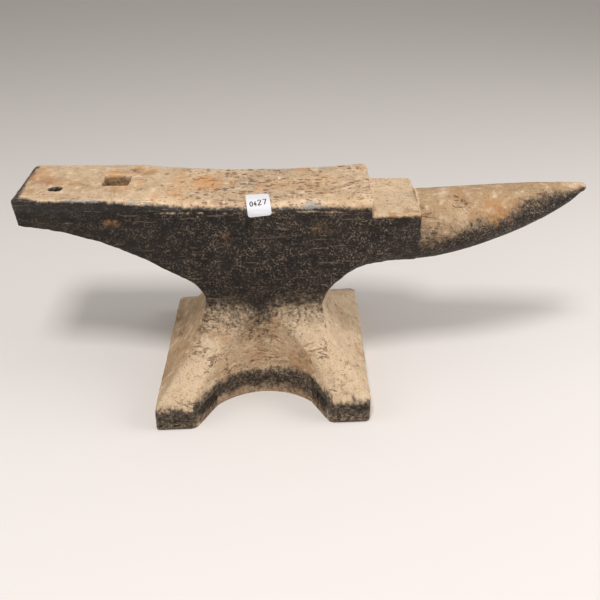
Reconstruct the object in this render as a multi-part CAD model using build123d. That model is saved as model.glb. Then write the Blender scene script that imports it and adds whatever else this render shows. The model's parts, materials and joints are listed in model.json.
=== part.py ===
"""London-pattern blacksmith's anvil, built up from forged pieces.

Millimetres.  X runs from the heel to the horn, -Y is the front, Z is up.
The origin is the middle of the base's underside.

The anvil is one welded mass.  Its pieces are the forgings it was made from: a core, four corner
feet, a heel, a table block, a horn, and a face plate in two lengths, with a paper lot label stuck
on the front edge.  Every piece is cut from one body by shared planes, so neighbours meet face to
face.
"""
from build123d import *
from math import pi, sin
import os

# ---- base
BASE_LENGTH = 220.0          # along X
BASE_DEPTH = 212.0           # along Y
FLANGE = 26.0                # height of the upright edge round the base
SCALLOP_RADIUS = 70.0        # round bite in the front and the back of the base
SCALLOP_CENTRE_Y = 121.0     # its axis, outside the base
SCALLOP_WALL = 28.0          # height of the upright wall of the bite
APRON_TOP = 90.0             # where the hollow above the bite dies into the waist
APRON_RADII = (73.0, 83.0)   # the hollow's radius half way up and at its top

# ---- waist
WAIST_LEFT = (-58.3, 106.0)  # narrowest points of the two throats, as (x, z)
WAIST_RIGHT = (61.9, 102.0)
WAIST_HALF_DEPTH = 36.0
WAIST_Z = 100.0              # the feet end at this height
FLARE_MID = (63.7, 56.1)     # half way down the front of a leg, as (distance from the middle, z)
TRUNK_HALF_WIDTH = 10.0      # half width of the core between the feet, in the middle
SEAM_INSET = 2.0             # the foot seams meet the bites this far inside their corners

# ---- upper body
HEIGHT = 224.0               # the face above the floor
BODY_DEPTH = 84.0            # width of the face
SHOULDER_Z = 150.0           # the body has its full depth above this height
HEEL_END_X = -230.0
FACE_END_X = 108.0
TABLE_END_X = 155.0
HEEL_END_Z = 197.0           # underside of the heel at its end
HEEL_SEAM_X = -66.0          # the heel is welded to the core here
BODY_BOTTOM_Z = 142.0        # underside of the body where the table begins
EDGE_ROUND = 9.5             # worn front edge of the face, over the core
HEEL_ROUND = 4.5             # the same at the heel
BACK_ROUND = 2.0             # the back edge has stayed nearly crisp

# ---- face plate
PLATE_THICKNESS = 12.0
PLATE_SEAM_X = -122.0        # joint between its two lengths, where the sway begins
SWAY_END_X = 100.0
SWAY_DEPTH = 5.3

# ---- table and horn
TABLE_STEP = 16.0            # the table lies this far below the face
TABLE_SIDE_Z = 168.0         # the block's sides are upright above this height
HORN_LENGTH = 169.0
HORN_ROOT_RADIUS = 35.5
HORN_TOP_Z = 211.2           # top of the horn at its root
HORN_RISE = 9.6              # how much higher its top is at the tip
HORN_TAPER = 1.63            # powers in the horn's outline: where its taper gathers
HORN_BLUNTNESS = 0.7         # how round its outline is towards the tip
HORN_LIFT = 1.3              # how late its top starts to rise
HORN_STATIONS = (0.0, 0.15, 0.3, 0.45, 0.6, 0.72, 0.83, 0.91, 0.965)

# ---- holes
HARDY_SIZE = 25.4            # square hole
HARDY_CORNER = 3.0
HARDY_AT = (-142.0, 5.0)
PRITCHEL_DIAMETER = 12.7     # round hole
PRITCHEL_AT = (-198.0, -14.0)

# ---- lot label
LABEL_WIDTH = 23.5
LABEL_HEIGHT = 19.0          # seen square on to the rounded edge
LABEL_CORNER = 3.0
LABEL_THICKNESS = 0.3
LABEL_X = -1.0
LABEL_TILT = 4.0             # degrees
LABEL_MIDDLE_Y = -38.0
LABEL_MIDDLE_Z = 213.0

PLATE_Z = HEIGHT - PLATE_THICKNESS
TABLE_Z = HEIGHT - TABLE_STEP
FAR = 400.0                  # reaches past the anvil in every direction


def block(x0, x1, z0, z1):
    """A block as deep as space, for cutting the anvil at planes of X and Z."""
    return Pos((x0 + x1) / 2, 0, (z0 + z1) / 2) * Box(x1 - x0, FAR, z1 - z0)


def side_outline(top):
    """The anvil seen from the front, without its table and horn, up to the height top."""
    half = BASE_LENGTH / 2
    edges = [
        Line((-half, 0), (half, 0)),
        Line((half, 0), (half, FLANGE)),
        ThreePointArc((half, FLANGE), (78.0, 58.9), WAIST_RIGHT),
        ThreePointArc(WAIST_RIGHT, (76.0, 127.5), (FACE_END_X, BODY_BOTTOM_Z)),
        Line((FACE_END_X, BODY_BOTTOM_Z), (FACE_END_X, top)),
        Line((FACE_END_X, top), (HEEL_END_X, top)),
        Line((HEEL_END_X, top), (HEEL_END_X, HEEL_END_Z)),
        ThreePointArc((HEEL_END_X, HEEL_END_Z), (-153.0, 178.5), (-80.0, 137.5)),
        ThreePointArc((-80.0, 137.5), (-64.0, 123.0), WAIST_LEFT),
        ThreePointArc(WAIST_LEFT, (-76.8, 61.9), (-half, FLANGE)),
        Line((-half, FLANGE), (-half, 0)),
    ]
    return Plane.XZ * make_face(edges)


def end_outline(top, half_depth):
    """The anvil seen from its end: upright flange, concave leg, waist, and full depth above."""
    edges = []
    for side in (-1, 1):
        foot = side * BASE_DEPTH / 2
        waist = side * WAIST_HALF_DEPTH
        body = side * half_depth
        edges += [
            Line((foot, 0), (foot, FLANGE)),
            ThreePointArc((foot, FLANGE), (side * FLARE_MID[0], FLARE_MID[1]), (waist, WAIST_Z)),
            Line((waist, WAIST_Z), (body, SHOULDER_Z)),
            Line((body, SHOULDER_Z), (body, top)),
        ]
    edges += [
        Line((-BASE_DEPTH / 2, 0), (BASE_DEPTH / 2, 0)),
        Line((-half_depth, top), (half_depth, top)),
    ]
    return Plane.YZ * make_face(edges)


def scallop(side):
    """The bite in one side of the base: an upright round wall with a hollow above it."""
    middle_z = (SCALLOP_WALL + APRON_TOP) / 2
    profile = [
        Line((0, -1), (SCALLOP_RADIUS, -1)),
        Line((SCALLOP_RADIUS, -1), (SCALLOP_RADIUS, SCALLOP_WALL)),
        ThreePointArc((SCALLOP_RADIUS, SCALLOP_WALL), (APRON_RADII[0], middle_z),
                      (APRON_RADII[1], APRON_TOP)),
        Line((APRON_RADII[1], APRON_TOP), (0, APRON_TOP)),
        Line((0, APRON_TOP), (0, -1)),
    ]
    bite = revolve(Plane.XZ * make_face(profile), Axis.Z)
    return Pos(0, side * SCALLOP_CENTRE_Y, 0) * bite


def sway(grow):
    """The wide shallow dip worn in the face, as the cylinder that cuts it."""
    half_chord = (SWAY_END_X - PLATE_SEAM_X) / 2
    middle_x = (SWAY_END_X + PLATE_SEAM_X) / 2
    radius = (half_chord ** 2 + SWAY_DEPTH ** 2) / (2 * SWAY_DEPTH)
    axis_z = HEIGHT - SWAY_DEPTH + radius
    return Pos(middle_x, 0, axis_z) * Rot(90, 0, 0) * Cylinder(radius - grow, FAR)


def top_edge(solid, x0, x1, side):
    """The solid's long upper edge between two places along X, in front (side -1) or at the back (1)."""
    edges = solid.edges().filter_by(lambda e: e.center().Z > TABLE_Z and x0 < e.center().X < x1)
    edges = edges.filter_by(lambda e: e.center().Y * side > 0)
    return edges.filter_by(lambda e: abs(e.tangent_at(0.5).X) > 0.9)


def wear(solid, x0, x1, front, back):
    """The solid with its long upper edges rounded, each by its own radius."""
    solid = fillet(top_edge(solid, x0, x1, -1), front)
    return fillet(top_edge(solid, x0, x1, 1), back)


def swayed_body(x0=PLATE_SEAM_X, x1=FACE_END_X, grow=0.0):
    """The body with its long face plate, its edges worn round, from x0 to x1; grow fattens it."""
    half_depth = BODY_DEPTH / 2 + grow
    body = extrude(side_outline(HEIGHT + grow), amount=FAR / 2, both=True)
    body &= extrude(end_outline(HEIGHT + grow, half_depth), amount=FAR, both=True)
    body &= block(x0, x1, -1, FAR)
    body -= sway(grow)
    return wear(body, x0, x1, EDGE_ROUND + grow, BACK_ROUND + grow)


def heel_body():
    """The body left of the joint in the face plate, flat on top, with crisper edges."""
    body = extrude(side_outline(HEIGHT), amount=FAR / 2, both=True)
    body &= extrude(end_outline(HEIGHT, BODY_DEPTH / 2), amount=FAR, both=True)
    body &= block(HEEL_END_X, PLATE_SEAM_X, -1, FAR)
    return wear(body, HEEL_END_X, PLATE_SEAM_X, HEEL_ROUND, BACK_ROUND)


def holes():
    """The square hardy hole and the round pritchel hole, right through the heel."""
    hardy = extrude(RectangleRounded(HARDY_SIZE, HARDY_SIZE, HARDY_CORNER), amount=FAR)
    pritchel = Cylinder(PRITCHEL_DIAMETER / 2, 2 * FAR)
    return [Pos(*HARDY_AT, 100) * hardy, Pos(*PRITCHEL_AT, 100) * pritchel]


def foot_region(side_x, side_y):
    """The corner of the base that one foot fills, up to the waist."""
    reach = BASE_DEPTH
    bite_half_width = (SCALLOP_RADIUS ** 2 - (SCALLOP_CENTRE_Y - BASE_DEPTH / 2) ** 2) ** 0.5
    slope = (bite_half_width - SEAM_INSET - TRUNK_HALF_WIDTH) / (BASE_DEPTH / 2)
    corners = [
        (side_x * TRUNK_HALF_WIDTH, 0),
        (side_x * reach, 0),
        (side_x * reach, side_y * reach),
        (side_x * (TRUNK_HALF_WIDTH + slope * reach), side_y * reach),
    ]
    return extrude(make_face(Polyline(*corners, close=True)), amount=WAIST_Z)


def table_block():
    """The lower step between the face and the horn: flat on top, round underneath."""
    half = BODY_DEPTH / 2
    section = [
        Line((-half, TABLE_Z), (half, TABLE_Z)),
        Line((half, TABLE_Z), (half, TABLE_SIDE_Z)),
        Line((-half, TABLE_Z), (-half, TABLE_SIDE_Z)),
    ]
    drop = TABLE_SIDE_Z - BODY_BOTTOM_Z
    section.append(EllipticalCenterArc((0, TABLE_SIDE_Z), half, drop, start_angle=180, arc_size=180))
    solid = extrude(Plane.YZ * make_face(section), amount=TABLE_END_X - FACE_END_X)
    return Pos(FACE_END_X, 0, 0) * solid


def horn_radius(u):
    """Radius of the horn at the share u of its length: full at the root, blunt at the tip."""
    return HORN_ROOT_RADIUS * (1 - u ** HORN_TAPER) ** HORN_BLUNTNESS


def horn_centre(u):
    """Middle of the horn's section at the share u of its length; its top rises in a soft curve."""
    top = HORN_TOP_Z + HORN_RISE * sin(pi * u / 2) ** HORN_LIFT
    return Vector(TABLE_END_X + u * HORN_LENGTH, 0, top - horn_radius(u))


def horn():
    """The horn: round sections along a rising line, ending in a small round nose."""
    rings = [Plane(horn_centre(u), x_dir=(0, 1, 0), z_dir=(1, 0, 0)) * Circle(horn_radius(u))
             for u in HORN_STATIONS]
    last = HORN_STATIONS[-1]
    return loft(rings) + Pos(horn_centre(last)) * Sphere(horn_radius(last))


def lot_label():
    """A rounded square of paper, folded over the worn front edge of the face."""
    slice_x = (LABEL_X - LABEL_WIDTH, LABEL_X + LABEL_WIDTH)
    fold = Plane((LABEL_X, LABEL_MIDDLE_Y, LABEL_MIDDLE_Z), x_dir=(1, 0, 0), z_dir=(0, -1, 1))
    window = RectangleRounded(LABEL_WIDTH, LABEL_HEIGHT, LABEL_CORNER)
    window = extrude(fold * Rot(0, 0, LABEL_TILT) * window, amount=30, both=True)
    skin = swayed_body(*slice_x, LABEL_THICKNESS) - swayed_body(*slice_x)
    return skin & window


def below_waist(body):
    """The base: everything below the waist."""
    return body & block(-FAR, FAR, -1, WAIST_Z)


def build():
    """Every piece by name."""
    body = swayed_body()
    for side in (-1, 1):
        body -= scallop(side)
    heel = heel_body()
    for hole in holes():
        heel -= hole

    parts = {
        "face_plate_heel": heel & block(HEEL_END_X, PLATE_SEAM_X, PLATE_Z, FAR),
        "face_plate_body": body & block(PLATE_SEAM_X, FACE_END_X, PLATE_Z, FAR),
        "table_block": table_block(),
        "horn": horn(),
        "lot_label": lot_label(),
    }
    below_plate = (body + heel) & block(-FAR, FAR, -1, PLATE_Z)
    heel_zone = block(HEEL_END_X, HEEL_SEAM_X, WAIST_Z, PLATE_Z)
    parts["heel_block"] = below_plate & heel_zone
    core = below_plate - heel_zone
    base = below_waist(body)
    for side_x, end in ((-1, "left"), (1, "right")):
        for side_y, face in ((-1, "front"), (1, "back")):
            region = foot_region(side_x, side_y)
            parts[f"foot_{face}_{end}"] = base & region
            core -= region
    parts["core"] = core
    return parts


os.makedirs("parts", exist_ok=True)
for name, solid in build().items():
    export_step(solid, f"parts/{name}.step")
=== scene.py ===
"""A worn London-pattern anvil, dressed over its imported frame.

Every piece is a closed skin worked out on a grid: rings carried along a path, or a slab with a top
and a bottom sheet.  The same rules then round its edges, roughen it and stain it by place, so
neighbouring pieces meet with one unbroken surface.  Lengths are millimetres, which MM turns into
Blender's metres; the materials, the settings and the stage are in metres from the start.
"""
import json
import math

import bpy
import numpy as np
from mathutils import Matrix, Vector


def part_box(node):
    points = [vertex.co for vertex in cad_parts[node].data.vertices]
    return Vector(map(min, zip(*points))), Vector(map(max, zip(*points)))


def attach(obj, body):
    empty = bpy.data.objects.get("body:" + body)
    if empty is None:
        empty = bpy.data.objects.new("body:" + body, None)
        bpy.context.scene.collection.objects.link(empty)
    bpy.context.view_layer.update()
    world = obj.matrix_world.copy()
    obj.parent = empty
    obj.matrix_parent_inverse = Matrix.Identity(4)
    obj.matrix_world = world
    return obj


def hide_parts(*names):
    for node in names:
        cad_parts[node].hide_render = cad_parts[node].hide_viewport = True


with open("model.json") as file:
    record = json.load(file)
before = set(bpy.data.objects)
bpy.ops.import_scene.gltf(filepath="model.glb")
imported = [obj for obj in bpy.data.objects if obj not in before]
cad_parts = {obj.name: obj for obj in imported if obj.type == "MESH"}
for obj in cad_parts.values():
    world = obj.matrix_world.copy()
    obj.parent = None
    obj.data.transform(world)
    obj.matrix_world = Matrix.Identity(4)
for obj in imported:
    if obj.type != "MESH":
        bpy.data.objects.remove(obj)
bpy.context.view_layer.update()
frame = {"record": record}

bl_info = {
    "name": "Worn Anvil",
    "version": (1, 0, 0),
    "blender": (4, 5, 0),
    "location": "View3D > Sidebar > Anvil",
    "description": "Builds a worn blacksmith's anvil piece by piece",
    "category": "Add Mesh",
}

MM = 0.001


def box_mm(node):
    """Lowest and highest corner of a frame node, in millimetres."""
    low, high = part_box(node)
    return np.array(low) / MM, np.array(high) / MM


# ---- sizes read from the frame
(HEEL_END_X, _, PLATE_Z), (PLATE_SEAM_X, HALF_FACE, FACE_Z) = box_mm("face_plate_heel")
FACE_END_X = box_mm("face_plate_body")[1][0]
HEEL_SEAM_X = box_mm("heel_block")[1][0]
(_, _, BELLY_Z), (TABLE_END_X, _, TABLE_Z) = box_mm("table_block")
(_, FRONT_Y, _), (HALF_BASE, _, WAIST_Z) = box_mm("foot_front_right")
HALF_DEPTH = -FRONT_Y
MOUNTS = {mount["name"]: mount for mount in frame["record"]["mounts"]}
HARDY = np.array(MOUNTS["hardy_hole"]["pos_m"]) / MM
PRITCHEL = np.array(MOUNTS["pritchel_hole"]["pos_m"]) / MM
PRITCHEL_RADIUS = MOUNTS["pritchel_hole"]["dims"]["r_mm"]

# ---- shape of the body, close to the frame's
FLANGE = 26.0                   # height of the base's upright edge
WAIST_DEPTH = 36.0              # half depth at the waist
SHOULDER_Z = 150.0              # the body has its full depth above this height
TRUNK = 10.0                    # half width of the core between the feet
WAIST_RIGHT = (61.9, 102.0)     # (x, z) where the arcs of leg and throat meet
WAIST_LEFT = (-58.3, 106.0)
THROAT_LEFT = (-80.0, 137.5)    # where the left throat goes over into the heel's underside
HEEL_END_BOTTOM = 197.0
HEEL_HEIGHT = 46.0              # of its walls, for counting their steps
SIDE_LENGTH = 140.0             # of an outline from the waist to the face plate, about
LEG_LENGTH, FOOT_WIDTH = 125.0, 58.0   # of a foot's outline and of its front, about
HARDY_HALF, HARDY_CORNER = 12.7, 3.0
HOLES = ((HARDY, HARDY_HALF, HARDY_CORNER), (PRITCHEL, PRITCHEL_RADIUS, PRITCHEL_RADIUS))
SWAY_END_X, SWAY_DEPTH = 100.0, 5.3
HORN_LENGTH, HORN_RADIUS = 169.0, 35.5
HORN_TOP_Z, HORN_RISE = 212.2, 8.6     # top of the horn at its root, and how much it climbs
HORN_TAPER, HORN_BLUNTNESS, HORN_LIFT = 1.63, 0.7, 1.3     # powers in its outline and its climb
HORN_NOSE = 0.965               # share of its length where the round nose begins
NOSE_RADIUS = HORN_RADIUS * (1 - HORN_NOSE ** HORN_TAPER) ** HORN_BLUNTNESS
BITE_HALF, BITE_TOP = 68.4, 28.0       # half width and height of the bite between two feet
BITE_RADIUS, BITE_AXIS_Y = 70.0, 121.0

# ---- how finely shapes are worked out: shares of the spacing, and points of lines before they
# are spaced evenly
HEEL_FACE_FINE, BODY_FACE_FINE, TABLE_FINE, HORN_FINE = 0.75, 0.9, 0.8, 0.85
OUTLINE_POINTS, HORN_POINTS, EDGE_POINTS = 3000, 4000, 600
EDGE_REACH = 30.0               # how far the line over the face's edge goes each way
HIDDEN_COUNTS = (12, 30)        # steps along a foot's two inner sides
STROKE_STEP = 0.3

# ---- rounding, wear and skew, which go further than the frame's
BACK_ROUND = 1.8                # of the face's back edge, nearly crisp
HIP_HEIGHTS = (0.0, 24.0, 36.0, 55.0, 78.0, 96.0)
HIP_ROUNDS = (4.0, 6.0, 12.0, 17.0, 12.0, 5.5)
BASE_SLANT = 0.05               # how far the base's front and back edges slant
BASE_SHIFT = 1.65
BASE_SPREAD = 0.027
BASE_STRETCH = 0.012
FLANGE_SLOPE = 0.022
BACK_LEAN = 2.2                 # how far the back of the face stands out
HEEL_LEAN = 3.5
HEEL_DROOP = 1.4
END_ROUND = 3.5                 # of the face's, the heel's and the table's upright ends
FLOOR_ROUND = 3.0               # of the feet on the floor
RIM_ROUND, RIM_WORN = 2.0, 2.6  # of the holes' rims, and how much more it is at the back
RIM_ROUNDS = (0.8, 5.5)
SHARP_ANGLE = 55.0              # degrees between faces that keep a hard edge

# ---- the lot label: its middle, turn, size and print
LABEL_X, LABEL_UP, LABEL_TILT = -1.6, 5.0, 7.0
LABEL_WIDE, LABEL_TALL, LABEL_CORNER = 22.6, 29.0, 2.6
LABEL_CELLS = (59, 65)
LABEL_LIFTS = (0.34, 0.2)       # of its upper and lower sheet over the metal
INK_LIFTS = (0.40, 0.34)
INK_WIDTH = 1.0

# ---- stains and painted shade: the attributes that carry them, and spots given by middle, reach and strength
STAINS_AND_SHADE = ("dust", "rust", "bare", "pocked", "tone", "deep")
RUST_SPOTS = (
    (-50.0, 8.0, FACE_Z - 4, 28, 24, 9, 1.3),
    (-213.0, 4.0, FACE_Z, 20, 26, 10, 0.85),
    (-117.0, 27.0, FACE_Z, 20, 14, 10, 0.85),
    (HARDY[0], HARDY[1], FACE_Z - 20, 30, 30, 40, 1.3),
    (132.0, -40.0, TABLE_Z, 34, 7, 6, 0.6),
    (232.0, -22.0, 200.0, 26, 20, 24, 0.62),
    (316.0, 0.0, 216.0, 18, 12, 12, 0.3),
    (-31.0, -HALF_FACE, 184.0, 14, 6, 12, 0.35),
    (-142.0, -HALF_FACE, 200.0, 14, 6, 5, 0.32),
    (60.0, -HALF_FACE, 190.0, 16, 6, 12, 0.22),
    (60.0, 10.0, FACE_Z - 3, 30, 24, 8, 0.45),
)
BARE_SPOTS = (
    (45.0, -40.0, FACE_Z - 6, 14, 8, 10, 0.9),
    (-165.0, -41.0, FACE_Z - 1, 34, 3.5, 4, 0.7),
    (-115.0, -41.0, FACE_Z - 2, 26, 4, 5, 0.8),
)
DARK_HORN_SPOTS = (
    (211.0, -33.0, 190.0, 11, 14, 12, 0.6),
    (262.0, -20.0, 206.0, 16, 14, 14, 0.6),
    (288.0, -14.0, 212.0, 34, 12, 11, 0.55),
)
RUBBED_HORN_SPOTS = (
    (180.0, 0.0, 212.0, 10, 14, 8, 1.0),
    (196.0, -27.0, 200.0, 9, 9, 14, 0.9),
)
GRAINS = ((0.0017, 0.0), (0.009, 9.0), (0.02, 5.0))     # size and seed of fine, middle and wide

# ---- the stage, in metres
CAMERA_SPOT = (0.0295, -0.6877, 0.5265)
CAMERA_TURN = (0.0132, 0.5709)  # to the right and down, in radians
LENS = 45.24                    # millimetres, on a sensor 36 wide
FLOOR_REACH = 12.0
WORLD_LIGHT = (1.0, 0.97, 0.94, 1.0), 0.41
LAMPS = (                       # name, place, size and power
    ("overhead", (-0.1, -0.7, 1.45), 0.3, 18.0),
    ("window", (-1.3, -0.5, 0.9), 1.2, 8.0),
    ("fill", (1.35, -0.2, 0.7), 1.0, 15.0),
)
LAMP_AIM = Vector((0, 0, 0.1))


def circle_through(a, b, c):
    """Centre and radius of the circle through three points of a side or end view."""
    (ax, az), (bx, bz), (cx, cz) = a, b, c
    d = 2 * (ax * (bz - cz) + bx * (cz - az) + cx * (az - bz))
    a2, b2, c2 = ax * ax + az * az, bx * bx + bz * bz, cx * cx + cz * cz
    ux = (a2 * (bz - cz) + b2 * (cz - az) + c2 * (az - bz)) / d
    uz = (a2 * (cx - bx) + b2 * (ax - cx) + c2 * (bx - ax)) / d
    return ux, uz, math.hypot(ax - ux, az - uz)


RIGHT_LEG = circle_through((HALF_BASE, FLANGE), (78.0, 58.9), WAIST_RIGHT)
RIGHT_THROAT = circle_through(WAIST_RIGHT, (76.0, 127.5), (FACE_END_X, BELLY_Z))
LEFT_LEG = circle_through((-HALF_BASE, FLANGE), (-76.8, 61.9), WAIST_LEFT)
LEFT_THROAT = circle_through(WAIST_LEFT, (-64.0, 123.0), THROAT_LEFT)
HEEL_UNDER = circle_through(THROAT_LEFT, (-153.0, 178.5), (HEEL_END_X, HEEL_END_BOTTOM))
LEG_FRONT = circle_through((HALF_DEPTH, FLANGE), (63.7, 56.1), (WAIST_DEPTH, WAIST_Z))


def ramp(value, low, high):
    """Smooth step from 0 at low to 1 at high."""
    t = np.clip((value - low) / (high - low), 0.0, 1.0)
    return t * t * (3 - 2 * t)


def run_along(points):
    """Distance along a line from its first point to each of its points."""
    return np.concatenate([[0], np.cumsum(np.linalg.norm(np.diff(points, axis=0), axis=1))])


def softened(shape, z, reach=3.0):
    """A shape's value averaged a little above and below, which rounds its corners."""
    return (shape(z - reach) + 2 * shape(z) + shape(z + reach)) / 4


def arc_side(circle, z, sign):
    """Where a circle's left (-1) or right (1) side lies at the height z."""
    cx, cz, radius = circle
    return cx + sign * np.sqrt(np.maximum(radius ** 2 - (z - cz) ** 2, 0.0))


def leg_depth(z):
    """Half depth of the body: upright flange, concave leg, waist, then swelling to the face."""
    def plain(z):
        leg = arc_side(LEG_FRONT, np.clip(z, FLANGE, WAIST_Z), -1)
        waist = WAIST_DEPTH + (HALF_FACE - WAIST_DEPTH) * ramp(z, WAIST_Z - 6, SHOULDER_Z)
        return np.where(z < FLANGE, HALF_DEPTH, np.where(z < WAIST_Z, leg, waist))
    return softened(plain, z)


def flare(circle, waist, end, z):
    """One end of the base in the side view: the upright flange, then the leg's hollow arc."""
    leg = arc_side(circle, np.clip(z, FLANGE, waist[1]), -np.sign(end))
    return np.where(z < FLANGE, end, leg)


def end_right(z):
    """The right outline: flange, leg, throat, and the seam with the table."""
    def plain(z):
        low = flare(RIGHT_LEG, WAIST_RIGHT, HALF_BASE, z)
        throat = arc_side(RIGHT_THROAT, np.clip(z, WAIST_RIGHT[1], BELLY_Z), -1)
        return np.where(z < WAIST_RIGHT[1], low, np.where(z < BELLY_Z, throat, FACE_END_X))
    return np.where(z < WAIST_Z - 20, softened(plain, z), plain(z))


def end_left(z):
    """The left outline: flange, leg, throat, and the seam with the heel."""
    def low(z):
        return flare(LEFT_LEG, WAIST_LEFT, -HALF_BASE, z)
    throat = arc_side(LEFT_THROAT, np.clip(z, WAIST_LEFT[1], THROAT_LEFT[1]), 1)
    upper = np.maximum(np.where(z < WAIST_LEFT[1], low(z), throat), HEEL_SEAM_X)
    return np.where(z < WAIST_Z, softened(low, z), upper)


def heel_under(x):
    """Height of the heel's underside: a long arc, then the throat."""
    cx, cz, radius = HEEL_UNDER
    tx, tz, small = LEFT_THROAT
    long_arc = cz + np.sqrt(np.maximum(radius ** 2 - (x - cx) ** 2, 0.0))
    throat = tz + np.sqrt(np.maximum(small ** 2 - (x - tx) ** 2, 0.0))
    return np.where(x < THROAT_LEFT[0], long_arc, throat)


def sway(x):
    """Depth of the wide dip worn in the face."""
    middle, half = (SWAY_END_X + PLATE_SEAM_X) / 2, (SWAY_END_X - PLATE_SEAM_X) / 2
    return SWAY_DEPTH * np.clip(1 - ((x - middle) / half) ** 2, 0.0, None)


def crease_x(z):
    """Half width of the hollow between the feet: the bite, narrowing to a slit at the waist."""
    up = np.clip((z - BITE_TOP) / (WAIST_Z - BITE_TOP), 0.0, 1.0)
    return np.maximum(BITE_HALF * (1 - up) ** 0.78, 6.0)


def apron_depth(z):
    """Depth of the hollow's middle: the upright wall of the bite, a ledge, then the apron."""
    heights = (0.0, 24.0, 32.0, 60.0, 85.0, 100.0)
    depths = (51.0, 51.0, 46.5, 44.0, 40.0, WAIST_DEPTH)
    return softened(lambda h: np.interp(h, heights, depths), z, 2.0)


def under_round(x):
    """How far the body's lower edges are rounded at x, across and up: small, then a full U."""
    places = (HEEL_END_X, HEEL_SEAM_X, 62.0, 80.0, 93.0, FACE_END_X, 126.0)
    across = (3.0, 4.0, 4.5, 12.0, 22.0, 32.0, HALF_FACE)
    upward = (3.0, 4.0, 4.5, 9.0, 15.0, 22.0, 26.0)
    return np.interp(x, places, across), np.interp(x, places, upward)


# ---- noise

def lattice(i, j, k, seed):
    """A repeatable random value from 0 to 1 for whole-number points: an integer hash."""
    h = i * np.uint32(374761393) ^ j * np.uint32(668265263) ^ k * np.uint32(2246822519)
    h = h ^ np.uint32(seed * 40503 & 0xFFFFFFFF)
    h = (h ^ (h >> np.uint32(15))) * np.uint32(2246822507)
    h = (h ^ (h >> np.uint32(13))) * np.uint32(3266489909)
    return (h ^ (h >> np.uint32(16))).astype(np.float64) / 4294967296.0


def noise(p, size, seed):
    """Smooth random field from -1 to 1 with lumps of about the given size."""
    q = p / size
    cell = np.floor(q)
    f = q - cell
    w = f * f * f * (f * (6 * f - 15) + 10)
    i, j, k = (cell[:, n].astype(np.int64).astype(np.uint32) for n in range(3))
    total = np.zeros(len(p))
    for a, b, c in np.ndindex(2, 2, 2):
        share = np.abs(1 - a - w[:, 0]) * np.abs(1 - b - w[:, 1]) * np.abs(1 - c - w[:, 2])
        total += share * lattice(i + np.uint32(a), j + np.uint32(b), k + np.uint32(c), seed)
    return 2 * total - 1


def rough(p, size, seed, octaves=3):
    """Noise at several sizes, each half as large and half as strong as the last."""
    total, strength = np.zeros(len(p)), 0.0
    for n in range(octaves):
        total += noise(p, size / 2 ** n, seed + n) / 2 ** n
        strength += 1 / 2 ** n
    return total / strength * 1.6


def pits(p, cell_size, seed, share):
    """Round pits: 1 in the middle of each and 0 between, one in some of the cells of a lattice."""
    q = p / cell_size
    base = np.floor(q - 0.5)
    deepest = np.zeros(len(p))
    for corner in np.ndindex(2, 2, 2):
        cell = base + corner
        i, j, k = (cell[:, n].astype(np.int64).astype(np.uint32) for n in range(3))
        middle = cell + 0.25 + 0.5 * np.stack([lattice(i, j, k, seed + n) for n in range(3)], 1)
        radius = 0.18 + 0.3 * lattice(i, j, k, seed + 3)
        there = lattice(i, j, k, seed + 4) < share
        near = ((q - middle) ** 2).sum(1) / radius ** 2
        deepest = np.maximum(deepest, np.where(there, np.clip(1 - near, 0, None) ** 1.5, 0))
    return deepest


# ---- skins on grids

class Skin:
    """A closed surface: points, four-sided faces, three-sided faces, and which quads show."""

    def __init__(self, points, quads, shown, tris=None):
        self.points, self.quads, self.shown = points, quads, shown
        self.tris = np.zeros((0, 3), int) if tris is None else tris
        self.face_outwards()

    def face_outwards(self):
        """Turns every face over if the volume they enclose comes out negative."""
        a, b, c, d = (self.points[self.quads[:, n]] for n in range(4))
        volume = np.einsum("ij,ij->", a, np.cross(b, c)) + np.einsum("ij,ij->", a, np.cross(c, d))
        if len(self.tris):
            e, f, g = (self.points[self.tris[:, n]] for n in range(3))
            volume += np.einsum("ij,ij->", e, np.cross(f, g))
        if volume < 0:
            self.quads, self.tris = self.quads[:, ::-1], self.tris[:, ::-1]

    def normals(self):
        """Directions of the shown skin at each point; zero where none of it meets the point."""
        q = self.quads[self.shown]
        across = np.cross(self.points[q[:, 2]] - self.points[q[:, 0]],
                          self.points[q[:, 3]] - self.points[q[:, 1]])
        total = np.zeros_like(self.points)
        for corner in range(4):
            for axis in range(3):
                total[:, axis] += np.bincount(q[:, corner], across[:, axis], len(total))
        length = np.linalg.norm(total, axis=1, keepdims=True)
        return np.where(length > 1e-9, total / np.maximum(length, 1e-9), 0.0)


def ring_grid(x, y, z):
    """One grid of points from three arrays that stretch to the same rows and columns."""
    return np.stack(np.broadcast_arrays(x, y, z), -1)


def joined(rings):
    """Quads between neighbouring rings (rows, columns, 3), and the rings' point numbers.

    The last grid holds each point's neighbour to the right.
    """
    index = np.arange(rings[..., 0].size).reshape(rings.shape[:2])
    right = np.roll(index, -1, axis=1)
    quads = np.stack([index[:-1], right[:-1], right[1:], index[1:]], -1).reshape(-1, 4)
    return quads, index, right


def zipped(rings, shown):
    """Rings joined row to row, each end closed by a strip between its two halves."""
    quads, index, _ = joined(rings)
    half = index.shape[1] // 2
    there, back = index[:, :half], index[:, :half - 1:-1]
    strips = np.stack([there[:, :-1], back[:, :-1], back[:, 1:], there[:, 1:]], -1)
    caps = np.concatenate([strips[0], strips[-1][:, ::-1]])
    shown = np.concatenate([shown.reshape(-1), np.zeros(len(caps), bool)])
    return Skin(rings.reshape(-1, 3), np.concatenate([quads, caps]), shown)


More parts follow.
